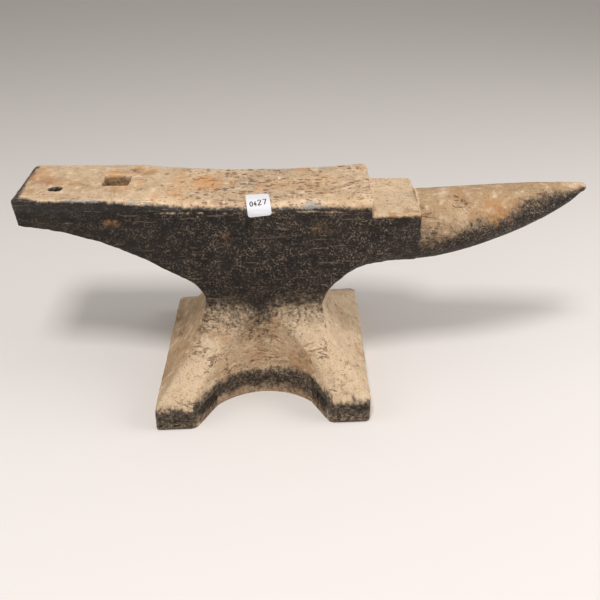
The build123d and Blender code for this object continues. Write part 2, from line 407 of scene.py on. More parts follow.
def tube(rings, shown):
    """Rings joined row to row, each end closed by a fan to its middle."""
    quads, index, right = joined(rings)
    ends = np.stack([rings[0].mean(0), rings[-1].mean(0)])
    first, last = np.full((2, index.shape[1]), index.size) + [[0], [1]]
    tris = np.concatenate([np.stack([right[0], index[0], first], 1),
                           np.stack([index[-1], right[-1], last], 1)])
    return Skin(np.concatenate([rings.reshape(-1, 3), ends]), quads, shown.reshape(-1), tris)


def slab(top, bottom, levels, keep, show_top, show_bottom):
    """Two sheets (rows, columns, 3) over the same plan, joined round every edge by upright walls.

    keep says which cells the sheets have, so a hole is a set of cells left out.  levels are the
    walls' steps, from 0 at the top to 1 at the bottom.
    """
    rows, columns = top.shape[:2]
    count = rows * columns
    index = np.arange(count).reshape(rows, columns)
    cells = np.stack([index[:-1, :-1], index[1:, :-1], index[1:, 1:], index[:-1, 1:]], -1)[keep]
    edges = np.concatenate([cells[:, [n, (n + 1) % 4]] for n in range(4)])
    code, back = edges[:, 0] * count + edges[:, 1], edges[:, 1] * count + edges[:, 0]
    rim = edges[~np.isin(code, back)]
    around, where = np.unique(rim, return_inverse=True)
    where = where.reshape(rim.shape)
    a, b = top.reshape(-1, 3), bottom.reshape(-1, 3)
    inner = np.array(levels)[1:-1]
    walls = (1 - inner)[:, None, None] * a[around] + inner[:, None, None] * b[around]
    between = 2 * count + np.arange(len(inner) * len(around)).reshape(len(inner), len(around))
    ids = np.concatenate([around[None], between, count + around[None]])
    start, end = ids[:, where[:, 0]], ids[:, where[:, 1]]
    wall_quads = np.stack([end[:-1], start[:-1], start[1:], end[1:]], -1).reshape(-1, 4)
    quads = np.concatenate([cells, cells[:, ::-1] + count, wall_quads])
    shown = np.concatenate([np.full(len(cells), show_top), np.full(len(cells), show_bottom),
                            np.ones(len(wall_quads), bool)])
    used, compact = np.unique(quads, return_inverse=True)
    points = np.concatenate([a, b, walls.reshape(-1, 3)])[used]
    return Skin(points, compact.reshape(-1, 4), shown)


def round_edge(a, b, across, down):
    """Rounds an edge between two faces, for points a inside one face and b inside the other.

    In the square zone beside the edge, each square round the zone's inner corner becomes a quarter
    circle of the same size, so faces bend into an arc and what is inside follows.
    """
    u, v = 1 - a / across, 1 - b / down
    zone = (u > 0) & (v > 0)
    reach = np.maximum(u, v)
    scale = np.where(zone, reach / np.maximum(np.hypot(u, v), 1e-9), 1.0)
    new_a = np.where(zone, across * (1 - u * scale), a)
    new_b = np.where(zone, down * (1 - v * scale), b)
    return new_a - a, new_b - b


# ---- wear and relief, shared by every piece

def settings():
    """The user's sizes and colours."""
    return bpy.context.scene.worn_anvil


def face_top(x):
    """Height of the face at x."""
    return FACE_Z - sway(x)


def along(points, size, seed):
    """Noise that changes only along X, different on the two long edges."""
    line = np.stack([points[:, 0], 300 * np.sign(points[:, 1]), 0 * points[:, 0]], 1)
    return rough(line, size, seed)


def pull(points, a, b, across, down, inward_b):
    """Rounds the edge between the front or back and another face.

    a and b are the depths inside the two faces, and inward_b points in from the second one.
    """
    move_a, move_b = round_edge(a, b, across, down)
    points[:, 1] -= np.sign(points[:, 1]) * move_a
    points += inward_b * move_b[:, None]


def direction(x, z, count):
    """The same or a per-point direction in the side view, as rows of three."""
    rows = np.zeros((count, 3))
    rows[:, 0], rows[:, 2] = x, z
    return rows


def round_face_edges(points):
    """Wears the face's front edge, crisp and chipped at the heel, wide and soft over the body.

    The back edge has stayed crisp.
    """
    x, y, z = points.T
    places = (HEEL_END_X, PLATE_SEAM_X - 25, PLATE_SEAM_X + 20, -40.0, 60.0, FACE_END_X)
    reach = np.interp(x, places, (2.6, 3.4, 7.5, 10.0, 10.5, 9.0))
    chips = np.clip(along(points, 13.0, 31) - 0.45, 0, None) * np.where(x < -60, 9.0, 4.0)
    reach = np.where(y < 0, reach * (1 + 0.22 * along(points, 42.0, 11)) + chips,
                     BACK_ROUND * (1 + 0.4 * along(points, 20.0, 13)))
    down = np.minimum(reach * 0.95, 12.5)
    pull(points, HALF_FACE - np.abs(y), face_top(x) - z, reach * 1.15, down,
         direction(0, -1, len(x)))


def round_end(points, end_x, sign, top, radius=END_ROUND):
    """Rounds the top edge and the upright corners of an end that faces along X."""
    inside = (end_x - points[:, 0]) * sign
    move_a, move_b = round_edge(inside, top - points[:, 2], radius, radius * 0.9)
    points[:, 0] -= sign * move_a
    points[:, 2] -= move_b
    inside = (end_x - points[:, 0]) * sign
    against_table = sign > 0 and end_x < TABLE_END_X
    above = ramp(points[:, 2], TABLE_Z - 2, TABLE_Z + 3) if against_table else 1.0
    corner = np.maximum(radius * 1.3 * above, 0.01)
    pull(points, leg_depth(points[:, 2]) - np.abs(points[:, 1]), inside, corner, corner,
         direction(-sign, 0, len(points)))


def round_under(points, circle):
    """Rounds the body's lower edges, where the underside or throat is an arc of the side view."""
    x, y, z = points.T
    cx, cz, radius = circle
    dx, dz = x - cx, z - cz
    far = np.maximum(np.hypot(dx, dz), 1e-6)
    across, upward = under_round(x)
    pull(points, leg_depth(z) - np.abs(y), far - radius, across, upward,
         direction(dx / far, dz / far, len(x)))


def round_below(points, left, right, split_x):
    """Rounds the lower edges on both sides of split_x, each beside its own arc of the side view."""
    for circle, zone in ((left, points[:, 0] < split_x), (right, points[:, 0] >= split_x)):
        some = points[zone]
        round_under(some, circle)
        points[zone] = some


def round_foot(points, outline, sign):
    """Rounds a foot's hip, the corner of its bite and its edges on the floor."""
    x, y, z = points.T
    reach = np.interp(z, HIP_HEIGHTS, HIP_ROUNDS)
    pull(points, leg_depth(z) - np.abs(y), (outline(z) - x) * sign, reach, reach,
         direction(-sign, 0, len(x)))
    round_bite(points)
    x, y, z = points.T
    move_a, move_b = round_edge(leg_depth(z) - np.abs(y), z, FLOOR_ROUND, FLOOR_ROUND)
    points[:, 1] -= np.sign(y) * move_a
    points[:, 2] += move_b
    inside = (outline(z) - points[:, 0]) * sign
    move_a, move_b = round_edge(inside, points[:, 2], FLOOR_ROUND, FLOOR_ROUND)
    points[:, 0] -= sign * move_a
    points[:, 2] += move_b


def round_bite(points):
    """Rounds the corner between a foot's front and the round bite beside it."""
    x, y, z = points.T
    axis_y = BITE_AXIS_Y * np.sign(y)
    dx, dy = x, y - axis_y
    far = np.maximum(np.hypot(dx, dy), 1e-6)
    radius = 5.0 * (1 - ramp(z, BITE_TOP - 8, BITE_TOP + 2)) + 0.01
    move_a, move_b = round_edge(leg_depth(z) - np.abs(y), far - BITE_RADIUS, radius, radius)
    points[:, 1] -= np.sign(y) * move_a
    points[:, 0] += dx / far * move_b
    points[:, 1] += dy / far * move_b


def groove(distance, depth, width):
    """A rounded furrow: full depth on its line, gone a couple of widths away."""
    return -depth * np.exp(-(distance / width) ** 2)


def seam_grooves(p):
    """Weld lines that still show: under the face plate, at the face's end and beside the feet."""
    x, y, z = p.T
    side = np.abs(y) > HALF_FACE - 8
    broken = ramp(rough(p, 22.0, 71), -0.25, 0.25)
    plate = groove(z - PLATE_Z - 1.5 * noise(p, 40.0, 72), 0.7, 0.9) * (side & (x < FACE_END_X))
    upright = groove(x - FACE_END_X - 1.5 * noise(p, 20.0, 74), 0.8, 1.5) * (side & (z < TABLE_Z))
    upright = 0.35 * upright * (z > BELLY_Z) * ramp(rough(p, 26.0, 75), -0.5, 0.1)
    crease = groove(np.abs(x) - crease_x(z) - 1.2 * noise(p, 16.0, 73), 0.9, 3.0)
    low = (1 - ramp(z, 60, 84)) * (z > BITE_TOP) * (np.abs(y) > WAIST_DEPTH - 4)
    return plate * broken + upright + crease * low


def skew(points):
    """Forged a little askew: the base slants and spreads, and the face and the heel lean out."""
    x, y, z = points.T.copy()
    low = 1 - ramp(z, FLANGE, WAIST_Z)
    points[:, 1] += (BASE_SLANT * x + BASE_SHIFT + BASE_SPREAD * y) * low
    behind = ramp(y, 20, HALF_FACE) * ramp(z, SHOULDER_Z, TABLE_Z) * (x < TABLE_END_X)
    points[:, 1] += BACK_LEAN * behind
    points[:, 2] += FLANGE_SLOPE * x * np.clip(z / FLANGE, 0, 1) * (1 - ramp(z, FLANGE, 75))
    points[:, 0] += BASE_STRETCH * x * low
    points[:, 0] -= HEEL_LEAN * ramp(-x, 205, 230) * (0.45 + 0.55 * ramp(z, 195, FACE_Z))
    points[:, 2] -= HEEL_DROOP * ramp(-x, 60, 100) * ramp(-z, -205, -185) * (z > WAIST_Z)


def relief(p, n):
    """How far the skin stands out of its smooth shape, and how deep its pits are from 0 to 1.

    Noise of three sizes less round pits, both calmer on the face and the horn, and less the mid
    panel's folds.  That fades out under the label and at the floor; the seams' grooves don't.
    """
    size = settings().shape
    x, y, z = p.T
    on_face = ramp(n[:, 2], 0.6, 0.9) * (z > TABLE_Z - 4) * (x < TABLE_END_X)
    on_horn = (x > TABLE_END_X).astype(float)
    calm = 1 - 0.75 * on_face - 0.55 * on_horn * (1 - on_face)
    lumps = (0.3 * rough(p, 60.0, 21, 2) + 0.35 * rough(p, 17.0, 23, 2)
             + 0.45 * rough(p, 6.0, 25, 2))
    bent = p + 1.3 * np.stack([noise(p, 4.0, 91), noise(p, 4.0, 92), noise(p, 4.0, 93)], 1)
    dents = pits(bent, 9.0, 41, 0.2) * 0.7 + pits(bent, 5.0, 47, 0.35) * 0.6
    panel = ramp(crease_x(z) + 22 - np.abs(x), 0, 14) * ramp(z, 26, 40) * (1 - ramp(z, 88, 112))
    folds = np.clip(1 - 6 * np.abs(rough(p * (0.4, 1.0, 1.5), 13.0, 95)), 0, 1) * panel
    folds = folds * ramp(rough(p, 17.0, 96), -0.25, 0.35)
    fade = ramp(z, 0.0, 6.0)
    height = size.lump / MM * lumps * calm
    height = height - size.pit / MM * dents * (0.55 + 0.45 * calm) - 0.9 * folds
    dents = np.maximum(dents, 0.5 * folds)
    in_front = (y < 20 - HALF_FACE) * (z > SHOULDER_Z)
    under_label = ramp(17 - np.abs(x - LABEL_X), 0, 4) * in_front
    height = height * (1 - under_label)
    return height * fade + seam_grooves(p), np.clip(dents * 1.2 * (1 - 0.5 * on_horn), 0, 1)


# ---- stains by place, and painted shade

def stains_and_shade(p, n, deep):
    """Cover of dust, rust, bare metal and pits at each point from 0 to 1, and the tone.

    Each combines ramps of height, place and the way the skin faces, made ragged by noise.  A
    higher tone means browner dust and more specks in the scale.  On the lower faces that turn
    to the left the tone is also raised as painted shade, which makes them browner and darker.
    """
    x, y, z = p.T
    up = n[:, 2]
    wide, small = rough(p, 30.0, 51), rough(p, 7.0, 55)
    ragged = 0.6 * wide + 0.4 * small

    band_low = np.interp(x, (-150.0, -125.0, -90.0, -40.0, FACE_END_X),
                         (222.5, 219.5, 216.0, 214.5, 213.0))
    band = ramp(z, band_low - 2.5 + 2.5 * ragged, band_low + 5 + 2.5 * ragged)
    band = band * (x < FACE_END_X + 1)
    lip = 0.62 * np.exp(-((z - 210.8 - 1.5 * noise(p, 40.0, 72)) / 0.9) ** 2)
    lip = lip * ramp(ragged, -0.6, 0.3)
    lip = lip * (np.abs(y) > HALF_FACE - 4) * (x > -100) * (x < FACE_END_X)
    flat = ramp(up, 0.55, 0.85) * (z > TABLE_Z - 6) * (x < TABLE_END_X + 2)
    table_band = ramp(z, TABLE_Z - 5 + 2 * ragged, TABLE_Z - 1 + 2 * ragged)
    table_band = table_band * (x > FACE_END_X - 1) * (x < TABLE_END_X + 1)
    on_horn = ramp(x, TABLE_END_X - 1, TABLE_END_X + 1)
    horn_line = np.interp(x, (155.0, 187.0, 215.0, 254.0, 274.0, 313.0),
                          (0.04, 0.06, 0.1, 0.36, 0.5, 0.48))
    horn_tan = on_horn * np.clip(0.5 + 1.15 * (up - horn_line) + 0.3 * ragged, 0, 1)

    front = ramp(np.abs(n[:, 1]), 0.3, 0.6)
    soot_line = 102 + front * (-12 - 20 * np.exp(-((x + 3) / 14.0) ** 2)) + 9 * wide + 3 * small
    legs = np.clip(0.5 + (soot_line - z) / (24 + 44 * front), 0, 1)
    foot_front = ramp(np.abs(y), HALF_DEPTH - 12, HALF_DEPTH - 1)
    foot_front = foot_front * ramp(FLANGE - 1 + 7 * ragged - z, -8, 6)
    lower_lip = 0.42 * ramp(9 + 5 * small - z, -6, 6)
    bite = ramp(BITE_TOP + 4 - z + 4 * ragged, -4, 7)
    bite = bite * (np.abs(x) < BITE_HALF + 1) * (np.abs(y) > 40)
    dark_low = np.clip(np.maximum(foot_front, bite - lower_lip) - 0.35 * lower_lip, 0, 1)
    flaking = ramp(rough(p, 5.0, 58), 0.0, 0.5) * front
    flaking = flaking * np.exp(-((x - 92) / 22.0) ** 2 - ((z - 40) / 16.0) ** 2)
    legs = legs * (1 - 0.8 * dark_low) * (1 - 0.75 * flaking)
    from_edge = HALF_FACE + y + 0.22 * np.maximum(x + 222, 0)
    from_end = np.minimum(0.9 * (x - HEEL_END_X), from_edge)
    sooty = ramp(7 + 4 * ragged - from_end, 0, 6) * (x < -185)

    dust = np.maximum(band, flat) * (1 - sooty)
    dust = np.maximum.reduce([dust, lip, table_band, horn_tan, legs])
    dust = dust * ramp(up, -0.75, -0.35) * (1 - 0.35 * deep)
    browner = np.zeros(len(x))
    for hole, half, _ in HOLES:
        near = (np.abs(p[:, :2] - hole[:2]).max(1) < half + 1.5) & (z < FACE_Z - 1.5)
        share = np.clip(0.6 + 0.5 * ragged, 0, 1) * ramp(z, 188, 205) * (half / HARDY_HALF) ** 2
        dust = np.where(near, share, dust)
        browner = np.maximum(browner, near * 1.3)

    def spotted(spots):
        strengths = []
        for cx, cy, cz, rx, ry, rz, strength in spots:
            far = np.sqrt(((x - cx) / rx) ** 2 + ((y - cy) / ry) ** 2 + ((z - cz) / rz) ** 2)
            strengths.append(strength * ramp(1.0 - far + 0.45 * ragged, 0.0, 0.8))
        return np.maximum.reduce([each * (0.8 + 0.45 * small) for each in strengths])

    crease = ramp(crease_x(z) + 10 - np.abs(x), 0, 20) * front
    rust = np.maximum.reduce([
        spotted(RUST_SPOTS),
        0.4 * on_horn * ramp(up, 0.2, 0.6) * ramp(rough(p, 15.0, 65), 0.25, 0.8),
        0.55 * flat * ramp(rough(p, 20.0, 61), 0.35, 0.8),
        0.5 * legs * ramp(rough(p, 26.0, 63), 0.4, 0.9),
        0.25 * legs * crease * (1 + 0.8 * ragged),
    ])
    bare = np.maximum(spotted(BARE_SPOTS), 0.3 * flat * ramp(rough(p, 34.0, 67), 0.45, 0.85))
    dark_spots = on_horn * spotted(DARK_HORN_SPOTS)
    dust = dust * (1 - dark_spots)
    pocked = flat * np.interp(x, (-90.0, -60.0), (0.3, 1.0)) * np.where(x < FACE_END_X, 1, 0.5)
    pocked = np.maximum(pocked, 0.6 * (z < TABLE_Z - 12) * (1 - 0.6 * on_horn))
    hollow = front * ramp(crease_x(z) + 12 + 6 * ragged - np.abs(x), 0, 26)
    on_table = (x > FACE_END_X) & (x < TABLE_END_X + 1)
    upright = 0.1 + 0.6 * ramp(x, HEEL_END_X, FACE_END_X)
    upper = np.where(up > 0.4, 0.6 - 0.55 * on_table, upright)
    # painted shade: lower faces turned to the left get up to 0.7 more tone, so browner, darker
    # dust; hollow adds an ochre tint
    lower = 0.05 + 0.4 * hollow + 0.7 * ramp(-n[:, 0], 0.3, 0.7)
    tone = np.where(z > WAIST_Z + 12, upper, lower)
    rubbed = 1.2 * spotted(RUBBED_HORN_SPOTS) * on_horn
    tone = np.maximum(tone + (1.0 - tone) * on_horn, browner) - rubbed
    return dust, rust, bare, pocked, tone


def place(name, skins, material, nodes, wear=True):
    """Makes one object of skins: raised by the relief, set askew, stained, given painted shade and
    tied to the frame.
    """
    points, quads, tris, marks, start = [], [], [], [], 0
    for skin in skins:
        normal = skin.normals()
        height, deep = relief(skin.points, normal) if wear else (0.0, np.zeros(len(normal)))
        stained_and_shaded = stains_and_shade(skin.points, normal, deep)
        raised = skin.points + normal * np.reshape(height, (-1, 1))
        raised[:, 2] = np.maximum(raised[:, 2], 0.0)
        skew(raised)
        points.append(raised)
        quads.append(skin.quads + start)
        tris.append(skin.tris + start)
        marks.append(np.stack([*stained_and_shaded, deep]))
        start += len(raised)
    mesh = bpy.data.meshes.new(name)
    faces = np.concatenate(quads).tolist() + np.concatenate(tris).tolist()
    mesh.from_pydata((np.concatenate(points) * MM).tolist(), [], faces)
    for label, values in zip(STAINS_AND_SHADE, np.concatenate(marks, axis=1)):
        attribute = mesh.attributes.new(label, "FLOAT", "POINT")
        attribute.data.foreach_set("value", values.astype(np.float32))
    mesh.shade_smooth()
    mesh.set_sharp_from_angle(angle=math.radians(SHARP_ANGLE))
    piece = bpy.data.objects.new(name, mesh)
    bpy.context.collection.objects.link(piece)
    mesh.materials.append(material)
    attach(piece, "root")
    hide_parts(*nodes)
    return piece


# ---- the pieces

def steps(length, spacing):
    """How many equal steps of about the given spacing a length takes."""
    return max(int(round(length / spacing)), 2)


def fit_hole(plan, keep, hole, half, corner):
    """Bends a grid so that a block of its cells has a hole's outline, and leaves those cells out.

    The block's square rings go over to the outline's shape, and the bend fades out one half width
    further away.  corner is the outline's rounding: half for a round hole, less for a square one.
    """
    x, y = plan[:, 0, 0], plan[0, :, 1]
    i0, i1 = (int(np.abs(x - hole[0] - s * half).argmin()) for s in (-1, 1))
    j0, j1 = (int(np.abs(y - hole[1] - s * half).argmin()) for s in (-1, 1))
    keep[i0:i1, j0:j1] = False
    middle = np.array([(x[i0] + x[i1]) / 2, (y[j0] + y[j1]) / 2])
    extent = np.array([(x[i1] - x[i0]) / 2, (y[j1] - y[j0]) / 2])
    unit = (plan[..., :2] - middle) / extent
    ring = np.maximum(np.abs(unit).max(-1), 1e-6)
    on_ring = unit / ring[..., None]
    straight = on_ring * half
    inside = half - np.abs(straight)
    move_x, move_y = round_edge(inside[..., 0], inside[..., 1], corner, corner)
    target = straight - np.sign(straight) * np.stack([move_x, move_y], -1) + hole[:2]
    fade = 1 - ramp(ring, 1.0, 2.0)
    plan[..., :2] += (target - (middle + on_ring * extent)) * fade[..., None]


def plan_grid(x0, x1, spacing, holes):
    """A flat grid over part of the body's plan, fitted to its holes, and the cells it keeps."""
    xs = np.linspace(x0, x1, steps(x1 - x0, spacing) + 1)
    ys = np.linspace(-HALF_FACE, HALF_FACE, steps(2 * HALF_FACE, spacing) + 1)
    plan = np.zeros((len(xs), len(ys), 3))
    plan[..., 0], plan[..., 1] = xs[:, None], ys[None, :]
    keep = np.ones((len(xs) - 1, len(ys) - 1), bool)
    for hole, half, corner in holes:
        fit_hole(plan, keep, hole, half, corner)
    return plan, keep


def wear_rims(points, top):
    """Rounds the rims of the holes where tools have battered them.

    round_edge takes the distance outside a hole's outline and the depth under the top, and
    noise round the hole varies the radius.
    """
    for hole, half, corner in HOLES:
        d = points[:, :2] - hole[:2]
        inner = np.abs(d) - (half - corner)
        outside = np.linalg.norm(np.maximum(inner, 0), axis=1) - corner
        outside += np.minimum(inner.max(1), 0)
        out = np.maximum(inner, 0) * np.sign(d)
        out /= np.maximum(np.linalg.norm(out, axis=1, keepdims=True), 1e-6)
        angle = np.stack([40 * out[:, 0] + hole[0], 40 * out[:, 1], 0 * out[:, 0]], 1)
        battered = 12.0 / half * rough(angle, 14.0, 81)
        radius = RIM_ROUND + battered + RIM_WORN * np.clip(out[:, 1], 0, 1)
        radius = np.clip(radius, *RIM_ROUNDS)
        depth = top - points[:, 2]
        move_a, move_b = round_edge(np.maximum(outside, 0), depth, radius, radius * 0.8)
        near = outside < 6
        points[:, :2] += out * (move_a * near)[:, None]
        points[:, 2] -= move_b * near


def hide_seam(skin, x):
    """Marks the walls at a seam as unseen, so that they don't bend the normals of its edge."""
    skin.shown &= ~(np.abs(skin.points[skin.quads, 0] - x) < 0.01).all(axis=1)


def block_skin(ends, heights, tall, seam_x, shows, spacing, holes=()):
    """A slab over part of the plan, between two heights: each a number, or a function of x."""
    plan, keep = plan_grid(*ends, spacing, holes)
    top, bottom = plan.copy(), plan.copy()
    for sheet, height in zip((top, bottom), heights):
        sheet[..., 2] = height(plan[..., 0]) if callable(height) else height
    skin = slab(top, bottom, np.linspace(0, 1, steps(tall, spacing) + 1), keep, *shows)
    hide_seam(skin, seam_x)
    return skin


def heel_plate_skin(spacing):
    """The face plate over the heel: a slab with both holes through it."""
    skin = block_skin((HEEL_END_X, PLATE_SEAM_X), (FACE_Z, PLATE_Z), FACE_Z - PLATE_Z,
                      PLATE_SEAM_X, (True, False), spacing, HOLES)
    round_face_edges(skin.points)
    round_end(skin.points, HEEL_END_X, -1, FACE_Z)
    wear_rims(skin.points, FACE_Z)
    return skin


def body_plate_skin(spacing):
    """The face plate over the body: a slab whose top sheet follows the sway."""
    skin = block_skin((PLATE_SEAM_X, FACE_END_X), (face_top, PLATE_Z), FACE_Z - PLATE_Z,
                      PLATE_SEAM_X, (True, False), spacing)
    round_face_edges(skin.points)
    round_end(skin.points, FACE_END_X, 1, face_top(skin.points[:, 0]))
    return skin


def heel_block_skin(spacing):
    """The heel under its plate: a slab whose bottom sheet is the long arc of the underside."""
    skin = block_skin((HEEL_END_X, HEEL_SEAM_X), (PLATE_Z, heel_under), HEEL_HEIGHT,
                      HEEL_SEAM_X, (False, True), spacing, HOLES)
    points = skin.points
    points[:, 1] *= leg_depth(points[:, 2]) / HALF_FACE
    round_face_edges(points)
    round_below(points, HEEL_UNDER, LEFT_THROAT, THROAT_LEFT[0])
    round_end(points, HEEL_END_X, -1, FACE_Z)
    return skin


def table_skin(spacing):
    """The table block: a slab whose lower edges round into a full U, narrowed to meet the horn."""
    skin = block_skin((FACE_END_X, TABLE_END_X), (TABLE_Z, BELLY_Z), TABLE_Z - BELLY_Z,
                      FACE_END_X, (True, True), spacing)
    points = skin.points
    x, y, z = points.T
    across, upward = under_round(x)
    pull(points, HALF_FACE - np.abs(y), z - BELLY_Z, across, upward, direction(0, 1, len(x)))
    reach = np.where(y < 0, 3.5 * (1 + 0.3 * along(points, 15.0, 17)), BACK_ROUND)
    pull(points, HALF_FACE - np.abs(points[:, 1]), TABLE_Z - points[:, 2], reach * 1.2, reach,
         direction(0, -1, len(x)))
    round_end(points, TABLE_END_X, 1, TABLE_Z)
    x, y, z = points.T
    axis_z = HORN_TOP_Z - HORN_RADIUS
    far = np.maximum(np.hypot(y, z - axis_z), 1e-6)
    toward = ramp(x, FACE_END_X + 8, TABLE_END_X) * ramp(axis_z + 8 - z, 0, 18)
    shrink = 1 - toward * (1 - np.minimum(HORN_RADIUS + 1.0, far) / far)
    points[:, 1] = y * shrink
    points[:, 2] = axis_z + (z - axis_z) * shrink
    return skin


def horn_radius(u):
    """Radius of the horn at the share u of its length: a blunted cone, then the round nose."""
    u = np.maximum(u, 0)
    cone = HORN_RADIUS * (1 - np.minimum(u, HORN_NOSE) ** HORN_TAPER) ** HORN_BLUNTNESS
    beyond = np.clip((u - HORN_NOSE) * HORN_LENGTH / NOSE_RADIUS, 0.0, 1.0)
    return np.where(u < HORN_NOSE, cone, NOSE_RADIUS * np.sqrt(1 - beyond ** 2))


def horn_skin(spacing):
    """The horn: circles along a line whose top rises in a soft curve, closed at the nose."""
    fine = np.linspace(-0.01, HORN_NOSE + NOSE_RADIUS / HORN_LENGTH, HORN_POINTS)
    length = run_along(np.stack([fine * HORN_LENGTH, horn_radius(fine)], 1))
    u = np.interp(np.linspace(0, length[-1], steps(length[-1], spacing) + 1), length, fine)
    radius = horn_radius(u)[:, None]
    lift = HORN_TOP_Z + HORN_RISE * np.sin(np.pi * np.clip(u, 0, 1) / 2) ** HORN_LIFT
    nose_z = HORN_TOP_Z + HORN_RISE - NOSE_RADIUS
    middle = np.where(u < HORN_NOSE, lift - radius[:, 0], nose_z)[:, None]
    around = steps(2 * np.pi * HORN_RADIUS, spacing)
    turn = np.linspace(0, 2 * np.pi, around, endpoint=False)[None, :]
    x = TABLE_END_X + (u * HORN_LENGTH)[:, None]
    rings = ring_grid(x, radius * np.cos(turn), middle + radius * np.sin(turn))
    return tube(rings, np.ones((len(u) - 1, turn.shape[1]), bool))


def core_skin(spacing):
    """The body above the waist: rings whose two ends climb the left and right outlines evenly."""
    def climb(outline, count):
        z = np.linspace(WAIST_Z, PLATE_Z, OUTLINE_POINTS)
        x = outline(z)
        length = run_along(np.stack([x, z], 1))
        even = np.linspace(0, length[-1], count)
        return np.interp(even, length, x), np.interp(even, length, z)

    count = steps(SIDE_LENGTH, spacing) + 1
    left_x, left_z = climb(end_left, count)
    right_x, right_z = climb(end_right, count)
    wide, deep = steps(FACE_END_X - HEEL_SEAM_X, spacing), steps(2 * HALF_FACE, spacing)
    t = np.linspace(0, 1, wide, endpoint=False)
    t = 0.6 * t + 0.4 * (1 - np.cos(np.pi * t)) / 2
    s = np.linspace(-1, 1, deep, endpoint=False)
    share = np.concatenate([t, np.ones(deep), 1 - t, np.zeros(deep)])
    side = np.concatenate([-np.ones(wide), s, np.ones(wide), -s])
    x = left_x[:, None] * (1 - share) + right_x[:, None] * share
    z = left_z[:, None] * (1 - share) + right_z[:, None] * share
    rings = ring_grid(x, side * leg_depth(z), z)
    shown = np.ones((count - 1, rings.shape[1]), bool)
    shown[:, wide:wide + deep] = (right_z[1:] <= BELLY_Z + 0.5)[:, None]
    shown[:, 2 * wide + deep:] = (left_x[1:] > HEEL_SEAM_X + 0.01)[:, None]
    skin = tube(rings, shown)
    round_below(skin.points, LEFT_THROAT, RIGHT_THROAT, 0.0)
    round_face_edges(skin.points)
    return skin


def apron_skin(side, spacing):
    """The hollow between two feet, from the floor to the waist, with its seams to the feet.

    At each height it is an arc of a circle through both creases and the hollow's middle.  A
    second sheet runs from the creases back to the trunk and closes the skin inside the core.
    """
    z = np.linspace(0, WAIST_Z, steps(WAIST_Z, spacing) + 1)[:, None]
    wide = steps(2 * BITE_HALF, spacing)
    v = np.linspace(-1, 1, wide)[None, :]
    half, depth = crease_x(z), leg_depth(z)
    middle = np.minimum(apron_depth(z), depth)
    hollow = depth - middle
    bend = 2 * hollow / (half ** 2 + hollow ** 2)
    x = half * v
    y = middle + bend * x ** 2 / (1 + np.sqrt(np.maximum(1 - (bend * x) ** 2, 0)))
    hollow_line = ring_grid(x, side * y, z)
    w = np.minimum((1 - np.abs(v)) * 1.15 + 0.004, 1.0)
    seam_x = np.sign(v) * (half + (TRUNK - half) * w) * np.minimum(np.abs(v) / 0.13, 1)
    seam = ring_grid(seam_x, side * depth * (1 - w), z)
    rings = np.concatenate([hollow_line, seam[:, ::-1]], axis=1)
    shown = np.zeros((len(z) - 1, rings.shape[1]), bool)
    shown[:, :wide - 1] = True
    skin = zipped(rings, shown)
    round_bite(skin.points)
    return skin


def foot_skin(sign, side, spacing):
    """One corner foot: rings up the leg, from the crease round the hip to the middle of the end."""
    outline = end_right if sign > 0 else end_left
    z = np.linspace(0, WAIST_Z, steps(LEG_LENGTH, spacing) + 1)[:, None]
    crease, depth, end = crease_x(z), leg_depth(z), np.abs(outline(z))
    corners = [(crease, depth), (end, depth), (end, 0 * z), (TRUNK + 0 * z, 0 * z)]
    counts = [steps(FOOT_WIDTH, spacing), steps(HALF_DEPTH, spacing), *HIDDEN_COUNTS]
    sides = []
    for n, count in enumerate(counts):
        (x0, y0), (x1, y1) = corners[n], corners[(n + 1) % 4]
        w = np.linspace(0, 1, count, endpoint=False)[None, :]
        sides.append(ring_grid(x0 + (x1 - x0) * w, y0 + (y1 - y0) * w, z))
    rings = np.concatenate(sides, axis=1) * (sign, side, 1)
    shown = np.zeros((len(z) - 1, rings.shape[1]), bool)
    shown[:, :counts[0] + counts[1]] = True
    skin = tube(rings, shown)
    round_foot(skin.points, outline, sign)
    return skin


# ---- the lot label

def edge_path(x):
    """The worn front edge in section at x, from front face to top: distance along it, y and z."""
    top = face_top(np.array([x]))[0]
    square = np.full((2 * EDGE_POINTS, 3), (x, -HALF_FACE, top))
    square[:EDGE_POINTS, 2] = np.linspace(top - EDGE_REACH, top, EDGE_POINTS)
    square[EDGE_POINTS:, 1] = np.linspace(-HALF_FACE, EDGE_REACH - HALF_FACE, EDGE_POINTS)
    worn = square.copy()
    round_face_edges(worn)
    length = run_along(worn)
    slope = (worn[:, 2] - top) + (worn[:, 1] + HALF_FACE)
    return length - np.interp(0, slope, length), square[:, 1], square[:, 2]


def on_label(across, up, lift):
    """Points of the label's own flat plan, laid on the worn edge and raised by lift."""
    tilt = math.radians(LABEL_TILT)
    x = LABEL_X + across * math.cos(tilt) - up * math.sin(tilt)
    s = LABEL_UP + across * math.sin(tilt) + up * math.cos(tilt)
    length, square_y, square_z = edge_path(LABEL_X)
    points = np.stack([x, np.interp(s, length, square_y), np.interp(s, length, square_z)], -1)
    rows, columns = x.shape
    flat = points.reshape(-1, 3).copy()
    round_face_edges(flat)
    grid = flat.reshape(rows, columns, 3)
    normal = np.cross(np.gradient(grid, axis=0), np.gradient(grid, axis=1)).reshape(-1, 3)
    normal /= np.linalg.norm(normal, axis=1, keepdims=True)
    normal *= np.where(normal[:, 2:] - normal[:, 1:2] < 0, -1, 1)
    height = 0.5 * relief(flat, normal)[0] + lift
    return (flat + normal * height[:, None]).reshape(rows, columns, 3)


def paper_slab(across, up, lifts):
    """A thin slab over a grid of the label's flat plan, with its two sheets raised by the lifts."""
    keep = np.ones((across.shape[0] - 1, across.shape[1] - 1), bool)
    upper, lower = (on_label(across, up, lift) for lift in lifts)
    return slab(upper, lower, (0.0, 1.0), keep, True, True)


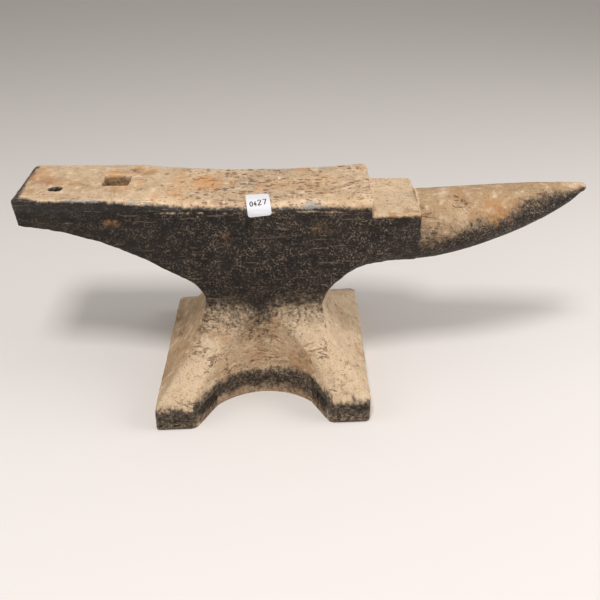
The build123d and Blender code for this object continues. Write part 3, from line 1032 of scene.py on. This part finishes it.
def label_skin():
    """A rectangle of paper with rounded corners, laid on the worn edge."""
    u, v = np.meshgrid(*(np.linspace(-1, 1, cells + 1) for cells in LABEL_CELLS), indexing="ij")
    across, up = u * LABEL_WIDE / 2, v * LABEL_TALL / 2
    move_a, move_b = round_edge(LABEL_WIDE / 2 - np.abs(across), LABEL_TALL / 2 - np.abs(up),
                                LABEL_CORNER, LABEL_CORNER)
    return paper_slab(across - np.sign(across) * move_a, up - np.sign(up) * move_b, LABEL_LIFTS)


def bow(x, y, wide, tall, start, end, count=14):
    """Points along an elliptical arc, angles in quarter turns."""
    turn = np.linspace(start, end, count) * math.pi / 2
    return np.stack([x + wide * np.cos(turn), y + tall * np.sin(turn)], 1)


def figures():
    """The pen strokes of the lot number 0427, each a line of points in its own box of 1 by 1.6."""
    nought = [bow(0.5, 0.8, 0.42, 0.72, 1, 5, 24)]
    four = [np.array([(0.68, 1.55), (0.1, 0.55), (0.95, 0.6)]),
            np.array([(0.7, 1.0), (0.66, 0.02)])]
    two = [np.concatenate([bow(0.48, 1.15, 0.36, 0.38, 2, -0.6), [(0.1, 0.1), (0.95, 0.12)]])]
    seven = [np.array([(0.08, 1.45), (0.9, 1.5), (0.4, 0.02)])]
    return [nought, four, two, seven]


def stroke_skin(line, wide):
    """A pen stroke: a thin slab along a line on the label."""
    length = run_along(line)
    even = np.linspace(0, length[-1], steps(length[-1], STROKE_STEP) + 1)
    path = np.stack([np.interp(even, length, line[:, n]) for n in range(2)], 1)
    ahead = np.gradient(path, axis=0)
    ahead /= np.linalg.norm(ahead, axis=1, keepdims=True)
    side = np.array([-0.5, -0.25, 0.0, 0.25, 0.5])[None, :] * wide
    across = path[:, :1] - ahead[:, 1:] * side
    up = path[:, 1:] + ahead[:, :1] * side
    return paper_slab(across, up, INK_LIFTS)


def number_skins():
    """The lot number across the label, its last two figures larger: corner and size of each."""
    places = ((-8.3, -3.4, 3.1, 4.1), (-4.6, -3.6, 3.1, 4.3),
              (-0.9, -3.2, 4.1, 5.4), (4.0, -2.8, 4.2, 5.6))
    skins = []
    for (x, y, wide, tall), strokes in zip(places, figures()):
        for line in strokes:
            placed = line * (wide, tall / 1.2) * 0.95 + (x, y - 0.9)
            skins.append(stroke_skin(placed, INK_WIDTH))
    return skins


# ---- materials

class Graph:
    """Short ways of adding and joining nodes in one node tree."""

    def __init__(self, tree):
        self.tree = tree
        tree.nodes.clear()

    def node(self, kind, inputs=(), **options):
        """A node with its options set, and its inputs set to values or joined to sockets."""
        made = self.tree.nodes.new(kind)
        made.location = (200 * (len(self.tree.nodes) % 12), -260 * (len(self.tree.nodes) // 12))
        for option, value in options.items():
            setattr(made, option, value)
        for name, value in dict(inputs).items():
            if isinstance(value, bpy.types.NodeSocket):
                self.tree.links.new(value, made.inputs[name])
            else:
                made.inputs[name].default_value = value
        return made

    def sum(self, operation, a, b=0.0, c=0.0):
        """A Math node: a and b, and c where the operation takes three."""
        return self.node("ShaderNodeMath", {0: a, 1: b, 2: c}, operation=operation).outputs[0]

    def vector(self, operation, a, b):
        """A Vector Math node: a and b."""
        return self.node("ShaderNodeVectorMath", {0: a, 1: b}, operation=operation).outputs[0]

    def mix(self, share, a, b):
        """Two colours mixed by share."""
        return self.node("ShaderNodeMix", {0: share, 6: a, 7: b}, data_type="RGBA").outputs[2]

    def between(self, share, a, b):
        """Two numbers mixed by share."""
        return self.node("ShaderNodeMix", {0: share, 2: a, 3: b}, data_type="FLOAT").outputs[0]

    def times(self, a, b):
        """Two numbers multiplied."""
        return self.sum("MULTIPLY", a, b)

    def step(self, value, low, high):
        """Smooth step of a value from 0 at low to 1 at high."""
        made = self.node("ShaderNodeMapRange", {0: value, 1: low, 2: high},
                         interpolation_type="SMOOTHSTEP")
        return made.outputs[0]

    def mark(self, name):
        """A stain stored on the mesh."""
        return self.node("ShaderNodeAttribute", attribute_name=name).outputs["Fac"]

    def place(self):
        """The piece's own coordinates, in metres."""
        return self.node("ShaderNodeTexCoord").outputs["Object"]

    def noise(self, scale, detail, **inputs):
        """A noise texture on the piece's own coordinates or the given Vector; W is its seed."""
        values = {"Vector": inputs.get("Vector") or self.place(), "Scale": scale, "Detail": detail}
        kind = "4D" if "W" in inputs else "3D"
        return self.node("ShaderNodeTexNoise", {**inputs, **values}, noise_dimensions=kind).outputs

    def group(self, tree, inputs, name="Mask"):
        """One output of a placed node group with its own values, or all of them for no name."""
        outputs = self.node("ShaderNodeGroup", inputs, node_tree=tree).outputs
        return outputs[name] if name else outputs

    def bump(self, height, distance, strength, normal=None):
        """A surface direction tilted by a height, on top of another where one is given."""
        under = {} if normal is None else {"Normal": normal}
        inputs = {"Height": height, "Distance": distance, "Strength": strength, **under}
        return self.node("ShaderNodeBump", inputs).outputs[0]

    def surface(self, **inputs):
        """The material's shader, joined to its output."""
        named = {name.replace("_", " "): value for name, value in inputs.items()}
        shader = self.node("ShaderNodeBsdfPrincipled", named)
        self.node("ShaderNodeOutputMaterial", {"Surface": shader.outputs[0]})


def effect(name, inputs, outputs, wire):
    """A node group made once: wire(graph, sockets) returns a value for each output."""
    if name in bpy.data.node_groups:
        return bpy.data.node_groups[name]
    tree = bpy.data.node_groups.new(name, "ShaderNodeTree")
    for label, value in inputs.items():
        socket = tree.interface.new_socket(label, in_out="INPUT", socket_type="NodeSocketFloat")
        socket.default_value = value
    for label in outputs:
        tree.interface.new_socket(label, in_out="OUTPUT", socket_type="NodeSocketFloat")
    graph = Graph(tree)
    entry = tree.nodes.new("NodeGroupInput")
    leave = tree.nodes.new("NodeGroupOutput")
    for label, value in zip(outputs, wire(graph, entry.outputs)):
        tree.links.new(value, leave.inputs[label])
    return tree


def grit():
    """Grain: Height for bump and Mottle for colour, both from noise of the given size."""
    def wire(graph, given):
        scale = graph.sum("DIVIDE", 1.0, given["Size"])
        fine = graph.noise(scale, 6.0, W=given["Seed"], Roughness=0.68)["Fac"]
        wide = graph.noise(graph.times(scale, 0.31), 4.0, W=given["Seed"], Roughness=0.6)["Fac"]
        return fine, graph.step(wide, 0.3, 0.7)
    return effect("Grit", {"Size": 0.004, "Seed": 0.0}, ["Height", "Mottle"], wire)


def pitting():
    """Small corrosion pits: Mask is 1 inside them.

    Share and Density say how many there are, and Stretch how long they are along X.
    """
    def wire(graph, given):
        scale = graph.sum("DIVIDE", 1.0, given["Size"])
        shift = graph.vector("SUBTRACT", graph.noise(scale, 3.0)["Color"], (0.5, 0.5, 0.5))
        reach = graph.times(given["Size"], 0.9)
        shift = graph.node("ShaderNodeVectorMath", {0: shift, "Scale": reach}, operation="SCALE")
        squeeze = graph.sum("DIVIDE", 1.0, given["Stretch"])
        narrow = graph.node("ShaderNodeCombineXYZ", {0: squeeze, 1: 1.0, 2: 1.0}).outputs[0]
        bent = graph.vector("ADD", graph.place(), shift.outputs[0])
        spot = graph.vector("MULTIPLY", bent, narrow)
        cells = graph.node("ShaderNodeTexVoronoi", {"Vector": spot, "Scale": scale}).outputs
        chance = graph.node("ShaderNodeSeparateColor", {0: cells["Color"]}).outputs[0]
        patches = graph.step(graph.noise(graph.times(scale, 0.12), 2.0)["Fac"], 0.25, 0.55)
        share = graph.times(graph.times(given["Share"], patches), given["Density"])
        there = graph.sum("LESS_THAN", chance, share)
        radius = graph.sum("MULTIPLY_ADD", chance, 0.45, 0.12)
        inside = graph.sum("SUBTRACT", radius, cells["Distance"])
        return (graph.times(graph.step(inside, -0.03, 0.12), there),)
    inputs = {"Size": 0.004, "Share": 0.4, "Stretch": 1.0, "Density": 1.0}
    return effect("Pitting", inputs, ["Mask"], wire)


def cracks():
    """Thin wavy cracks, mostly level: Mask is 1 along the middle value of a flattened noise."""
    def wire(graph, given):
        scale = graph.sum("DIVIDE", 1.0, given["Size"])
        flat = graph.vector("MULTIPLY", graph.place(), (0.45, 0.7, 1.3))
        wavy = graph.noise(scale, 5.0, Vector=flat, Roughness=0.62, Distortion=0.4)["Fac"]
        off = graph.sum("ABSOLUTE", graph.sum("SUBTRACT", wavy, 0.5))
        patches = graph.step(graph.noise(graph.times(scale, 0.9), 3.0)["Fac"], 0.5, 0.62)
        return (graph.times(graph.step(off, given["Width"], 0.0), patches),)
    return effect("Cracks", {"Size": 0.03, "Width": 0.02}, ["Mask"], wire)


def layer_edge():
    """A cover's ragged border: Cover pushed by noise where it is partial, then sharpened."""
    def wire(graph, given):
        scale = graph.sum("DIVIDE", 1.0, given["Size"])
        push = graph.sum("SUBTRACT", graph.noise(scale, 7.0, Roughness=0.7)["Fac"], 0.5)
        partly = graph.times(given["Cover"], graph.sum("SUBTRACT", 1.0, given["Cover"]))
        push = graph.times(push, graph.sum("MULTIPLY_ADD", partly, 4.0, 0.15))
        pushed = graph.sum("MULTIPLY_ADD", push, given["Raggedness"], given["Cover"])
        low = graph.sum("SUBTRACT", 0.5, given["Softness"])
        high = graph.sum("ADD", 0.5, given["Softness"])
        return (graph.step(pushed, low, high),)
    inputs = {"Cover": 0.5, "Size": 0.01, "Raggedness": 1.0, "Softness": 0.15}
    return effect("Layer Edge", inputs, ["Mask"], wire)


def scratches():
    """Fine scratches: Mask is 1 on thin lines of the given length that run in two directions."""
    def wire(graph, given):
        lines = []
        for turn, seed in ((0.5, 3.0), (2.1, 8.0)):
            turned = graph.node("ShaderNodeMapping", {
                "Vector": graph.place(), "Rotation": (turn, 0.4 * turn, turn),
                "Scale": (1.0, 14.0, 14.0)}).outputs[0]
            scale = graph.sum("DIVIDE", 1.0, given["Length"])
            streaks = graph.noise(scale, 2.0, Vector=turned, W=seed)["Fac"]
            lines.append(graph.step(streaks, 0.64, 0.72))
        return (graph.sum("MAXIMUM", *lines),)
    return effect("Scratches", {"Length": 0.02}, ["Mask"], wire)


def worn_metal(name, wear):
    """Iron under scale, dust, rust and pits; wear gives the values that set its pieces apart."""
    if name in bpy.data.materials:
        return bpy.data.materials[name]
    colour = settings().colour
    shade = {key: list(getattr(colour, key)) for key in AnvilColours.__annotations__}
    made = bpy.data.materials.new(name)
    made.use_nodes = True
    graph = Graph(made.node_tree)
    fine, middle, wide = (graph.group(grit(), {"Size": size, "Seed": wear["seed"] + seed}, None)
                          for size, seed in GRAINS)

    def cover(mark, size, raggedness, softness):
        return graph.group(layer_edge(), {"Cover": graph.mark(mark), "Size": size,
                                          "Raggedness": raggedness, "Softness": softness})

    def holes_of(size, share):
        return graph.group(pitting(), {
            "Size": wear["pit_size"] * size, "Share": wear["pit_share"] * share,
            "Stretch": wear["pit_stretch"], "Density": graph.mark("pocked")})

    holes = graph.sum("MAXIMUM", holes_of(1.0, 1.0), holes_of(0.5, 0.8))
    split = graph.group(cracks(), {"Size": 0.03, "Width": 0.016})
    lines = graph.group(scratches(), {"Length": 0.03})
    dust = cover("dust", 0.0035, 1.6, 0.45)
    rust = cover("rust", 0.007, 2.2, 0.5)
    bare = cover("bare", 0.004, 2.4, 0.35)
    # tone also carries painted shade: on the lower faces that turn left it mixes in more ochre, so
    # browner, darker dust
    tone = graph.mark("tone")

    scale = graph.mix(wide["Mottle"], shade["scale_dark"], shade["scale_brown"])
    scale = graph.mix(graph.times(middle["Mottle"], 0.5), scale, shade["scale_brown"])
    specks = graph.step(fine["Height"], 0.48, 0.66)
    specks = graph.times(specks, graph.step(middle["Height"], 0.38, 0.58))
    specks = graph.times(specks, graph.sum("MULTIPLY_ADD", tone, 1.1, 0.45))
    scale = graph.mix(graph.times(specks, wear["specks"]), scale, shade["scale_speck"])
    scale = graph.mix(graph.times(lines, 0.4), scale, shade["scale_speck"])

    uneven = graph.sum("SUBTRACT", wide["Mottle"], 0.5)
    brownness_and_shade = graph.sum("MULTIPLY_ADD", uneven, 0.7, tone)
    tan = graph.mix(brownness_and_shade, shade["dust_tan"], shade["dust_ochre"])
    tan = graph.mix(graph.step(middle["Height"], 0.5, 0.72), tan, shade["dust_pale"])
    grime = graph.step(fine["Height"], 0.5, 0.36)
    grime = graph.times(grime, graph.step(middle["Height"], 0.62, 0.4))
    tan = graph.mix(graph.times(grime, wear["grime"]), tan, shade["dust_dark"])
    tan = graph.mix(graph.times(lines, 0.3), tan, shade["dust_pale"])
    base = graph.mix(dust, scale, tan)

    orange = graph.mix(middle["Mottle"], shade["rust_orange"], shade["rust_brown"])
    base = graph.mix(graph.times(rust, 0.85), base, orange)
    steel = graph.mix(fine["Height"], shade["bare_dark"], shade["bare_pale"])
    base = graph.mix(graph.times(bare, 0.7), base, steel)
    pocks = graph.sum("MAXIMUM", graph.times(holes, 0.9), graph.step(graph.mark("deep"), 0.3, 0.9))
    pocks = graph.sum("MAXIMUM", pocks, graph.times(split, 0.85))
    pock_colour = graph.mix(dust, shade["scale_dark"], shade["pock_brown"])
    base = graph.mix(graph.times(pocks, 0.85), base, pock_colour)

    metal = graph.between(dust, wear["metal_dark"], wear["metal_dust"])
    metal = graph.between(graph.times(rust, 0.8), metal, 0.0)
    rough_value = graph.between(dust, wear["rough_dark"], wear["rough_dust"])
    rough_value = graph.sum("SUBTRACT", graph.between(bare, rough_value, 0.42), 0.1)
    rough_value = graph.sum("MULTIPLY_ADD", fine["Height"], 0.2, rough_value)
    sunk = graph.sum("MULTIPLY_ADD", holes, -0.6, fine["Height"])
    sunk = graph.sum("MULTIPLY_ADD", split, -0.8, sunk)
    normal = graph.bump(sunk, 0.0016, wear["bump"])
    normal = graph.bump(middle["Height"], 0.004, wear["bump"], normal)
    normal = graph.bump(wide["Height"], 0.004, wear["bump"] * 0.7, normal)
    graph.surface(Base_Color=base, Metallic=metal, Roughness=rough_value, Normal=normal,
                  Specular_IOR_Level=wear["shine"])
    return made


def forged_iron():
    """The rough dark iron of the body."""
    return worn_metal("scaled_iron", {
        "seed": 1.0, "pit_size": 0.005, "pit_share": 0.5, "pit_stretch": 1.3, "specks": 0.85,
        "grime": 0.8, "bump": 1.0, "shine": 0.22,
        "metal_dark": 0.1, "metal_dust": 0.05, "rough_dark": 0.55, "rough_dust": 0.8})


def steel_face():
    """The smoother steel of the face plate."""
    return worn_metal("worn_steel", {
        "seed": 11.0, "pit_size": 0.0046, "pit_share": 1.0, "pit_stretch": 1.8, "specks": 0.6,
        "grime": 0.8, "bump": 0.45, "shine": 0.4,
        "metal_dark": 0.2, "metal_dust": 0.2, "rough_dark": 0.5, "rough_dust": 0.6})


def plain(name, colour, roughness, grain):
    """A quiet surface, such as paper or a floor, with a faint grain in its relief."""
    if name in bpy.data.materials:
        return bpy.data.materials[name]
    made = bpy.data.materials.new(name)
    made.use_nodes = True
    graph = Graph(made.node_tree)
    fine = graph.group(grit(), {"Size": grain, "Seed": 3.0}, "Height")
    graph.surface(Base_Color=list(colour), Roughness=roughness, Specular_IOR_Level=0.3,
                  Normal=graph.bump(fine, 0.0001, 0.3))
    return made


# ---- what the user may change

def length_setting(name, description, default):
    """A length in metres."""
    return bpy.props.FloatProperty(name=name, description=description, default=default, min=0.0,
                                   unit="LENGTH", precision=5)


def colour_setting(name, description, default):
    """A colour with no transparency."""
    return bpy.props.FloatVectorProperty(name=name, description=description, size=4, min=0.0,
                                         max=1.0, default=(*default, 1.0), subtype="COLOR")


class AnvilShape(bpy.types.PropertyGroup):
    """Sizes of the grids and of the relief."""
    spacing: length_setting("Grid Spacing", "Distance between a skin's points", 0.0012)
    lump: length_setting("Forging Relief", "How far the hammered surface rises and falls", 0.0007)
    pit: length_setting("Pit Depth", "Depth of the larger corrosion pits", 0.0006)


class AnvilColours(bpy.types.PropertyGroup):
    """Colours of the iron, its stains and painted shade, the label and the floor."""
    scale_dark: colour_setting("Dark Scale", "Forging scale, darkest", (0.006, 0.005, 0.0045))
    scale_brown: colour_setting("Brown Scale", "Forging scale, brownest", (0.022, 0.016, 0.012))
    scale_speck: colour_setting("Scale Specks", "Worn specks in the scale", (0.25, 0.185, 0.135))
    dust_tan: colour_setting("Tan", "Main colour of the dusty faces", (0.62, 0.455, 0.295))
    # ochre is also the painted shade on the lower faces that turn left
    dust_ochre: colour_setting("Ochre", "Second colour of the dusty faces", (0.41, 0.27, 0.15))
    dust_dark: colour_setting("Dust Shade", "Dark grain in the dusty faces", (0.13, 0.085, 0.05))
    dust_pale: colour_setting("Dust Scratch", "Scratches in the dusty faces", (0.68, 0.53, 0.38))
    rust_orange: colour_setting("Orange Rust", "Fresh rust", (0.52, 0.26, 0.095))
    rust_brown: colour_setting("Brown Rust", "Old rust", (0.26, 0.13, 0.06))
    bare_dark: colour_setting("Bare Iron, Dark", "Rubbed metal, dark", (0.10, 0.095, 0.095))
    bare_pale: colour_setting("Bare Iron, Pale", "Rubbed metal, pale", (0.42, 0.39, 0.36))
    pock_brown: colour_setting("Pits", "Inside of the pits in dusty faces", (0.15, 0.07, 0.038))
    paper: colour_setting("Paper", "The lot label", (0.56, 0.55, 0.57))
    ink: colour_setting("Ink", "The lot number", (0.03, 0.025, 0.03))
    floor: colour_setting("Floor", "The studio floor", (0.62, 0.58, 0.55))


class AnvilSettings(bpy.types.PropertyGroup):
    """Everything the user may change."""
    shape: bpy.props.PointerProperty(type=AnvilShape, name="Shape")
    colour: bpy.props.PointerProperty(type=AnvilColours, name="Colours")


# ---- operators

def spacing():
    """The grid spacing in millimetres."""
    return settings().shape.spacing / MM


def forge(name, skins, node):
    """One piece of forged iron in place of its node in the frame."""
    place(name, skins, forged_iron(), [node])


class ANVIL_OT_face(bpy.types.Operator):
    """Make both lengths of the face plate."""
    bl_idname = "anvil.face"
    bl_label = "Face Plate"

    def execute(self, context):
        heel = heel_plate_skin(HEEL_FACE_FINE * spacing())
        place("steel_heel_face", [heel], steel_face(), ["face_plate_heel"])
        body = body_plate_skin(BODY_FACE_FINE * spacing())
        place("steel_body_face", [body], steel_face(), ["face_plate_body"])
        return {"FINISHED"}


class ANVIL_OT_heel(bpy.types.Operator):
    """Make the overhanging heel."""
    bl_idname = "anvil.heel"
    bl_label = "Heel"

    def execute(self, context):
        forge("forged_heel", [heel_block_skin(spacing())], "heel_block")
        return {"FINISHED"}


class ANVIL_OT_table(bpy.types.Operator):
    """Make the lower step between the face and the horn."""
    bl_idname = "anvil.table"
    bl_label = "Table"

    def execute(self, context):
        forge("forged_table", [table_skin(TABLE_FINE * spacing())], "table_block")
        return {"FINISHED"}


class ANVIL_OT_horn(bpy.types.Operator):
    """Make the horn."""
    bl_idname = "anvil.horn"
    bl_label = "Horn"

    def execute(self, context):
        forge("forged_horn", [horn_skin(HORN_FINE * spacing())], "horn")
        return {"FINISHED"}


class ANVIL_OT_core(bpy.types.Operator):
    """Make the core: the body above the waist and the hollows between the feet."""
    bl_idname = "anvil.core"
    bl_label = "Core"

    def execute(self, context):
        skins = [core_skin(spacing()), apron_skin(-1, spacing()), apron_skin(1, spacing())]
        forge("forged_core", skins, "core")
        return {"FINISHED"}


class ANVIL_OT_feet(bpy.types.Operator):
    """Make the four corner feet."""
    bl_idname = "anvil.feet"
    bl_label = "Feet"

    def execute(self, context):
        for side, face in ((-1, "front"), (1, "back")):
            for sign, end in ((-1, "left"), (1, "right")):
                node = f"foot_{face}_{end}"
                forge("forged_" + node, [foot_skin(sign, side, spacing())], node)
        return {"FINISHED"}


class ANVIL_OT_label(bpy.types.Operator):
    """Make the lot label and the number on it."""
    bl_idname = "anvil.label"
    bl_label = "Lot Label"

    def execute(self, context):
        colour = settings().colour
        paper = plain("white_paper", colour.paper, 0.6, 0.0006)
        place("paper_label", [label_skin()], paper, ["lot_label"], wear=False)
        ink = plain("black_ink", colour.ink, 0.5, 0.0006)
        place("label_number", number_skins(), ink, ["lot_label"], wear=False)
        return {"FINISHED"}


class ANVIL_OT_stage(bpy.types.Operator):
    """Make the floor, the soft lights and the camera."""
    bl_idname = "anvil.stage"
    bl_label = "Stage"

    def execute(self, context):
        scene = context.scene
        line = np.linspace(-FLOOR_REACH, FLOOR_REACH, 3)
        x, y = np.meshgrid(line, line, indexing="ij")
        points = np.stack([x, y, 0 * x], -1).reshape(-1, 3).tolist()
        faces = [(n, n + 3, n + 4, n + 1) for n in (0, 1, 3, 4)]
        mesh = bpy.data.meshes.new("floor")
        mesh.from_pydata(points, [], faces)
        mesh.materials.append(plain("floor_surface", settings().colour.floor, 0.7, 0.004))
        floor = bpy.data.objects.new("floor", mesh)
        scene.collection.objects.link(floor)

        for name, spot, size, power in LAMPS:
            data = bpy.data.lights.new(name, "AREA")
            data.shape, data.size, data.energy = "SQUARE", size, power
            lamp = bpy.data.objects.new(name, data)
            lamp.matrix_world = facing(spot, LAMP_AIM - Vector(spot))
            scene.collection.objects.link(lamp)

        world = bpy.data.worlds.new("studio")
        world.use_nodes = True
        for socket, value in zip(("Color", "Strength"), WORLD_LIGHT):
            world.node_tree.nodes["Background"].inputs[socket].default_value = value
        scene.world = world

        data = bpy.data.cameras.new("view")
        data.sensor_width, data.lens = 36.0, LENS
        camera = bpy.data.objects.new("view", data)
        yaw, pitch = CAMERA_TURN
        level = math.cos(pitch)
        ahead = Vector((math.sin(yaw) * level, math.cos(yaw) * level, -math.sin(pitch)))
        camera.matrix_world = facing(CAMERA_SPOT, ahead)
        scene.collection.objects.link(camera)
        scene.camera = camera
        scene.view_settings.view_transform = "Standard"
        return {"FINISHED"}


def facing(spot, ahead):
    """The place and turn of a lamp or camera at spot that looks along ahead, level side to side."""
    return Matrix.Translation(spot) @ ahead.to_track_quat("-Z", "Y").to_matrix().to_4x4()


class ANVIL_PT_sidebar(bpy.types.Panel):
    """Lists the pieces and what may be changed."""
    bl_label = "Worn Anvil"
    bl_idname = "ANVIL_PT_sidebar"
    bl_space_type = "VIEW_3D"
    bl_region_type = "UI"
    bl_category = "Anvil"

    def draw(self, context):
        for part in (settings().shape, settings().colour):
            box = self.layout.box()
            for name in part.__annotations__:
                box.prop(part, name)
        for operator in OPERATORS:
            self.layout.operator(operator.bl_idname)


OPERATORS = (ANVIL_OT_face, ANVIL_OT_heel, ANVIL_OT_table, ANVIL_OT_horn,
             ANVIL_OT_core, ANVIL_OT_feet, ANVIL_OT_label, ANVIL_OT_stage)
CLASSES = (AnvilShape, AnvilColours, AnvilSettings, *OPERATORS, ANVIL_PT_sidebar)


def register():
    """Adds the classes and the scene's settings."""
    for each in CLASSES:
        bpy.utils.register_class(each)
    bpy.types.Scene.worn_anvil = bpy.props.PointerProperty(type=AnvilSettings)


def unregister():
    """Takes away what register adds."""
    del bpy.types.Scene.worn_anvil
    for each in reversed(CLASSES):
        bpy.utils.unregister_class(each)


def main():
    """Builds every piece."""
    register()
    bpy.ops.anvil.face()
    bpy.ops.anvil.heel()
    bpy.ops.anvil.table()
    bpy.ops.anvil.horn()
    bpy.ops.anvil.core()
    bpy.ops.anvil.feet()
    bpy.ops.anvil.label()
    bpy.ops.anvil.stage()


if __name__ == "__main__":
    main()
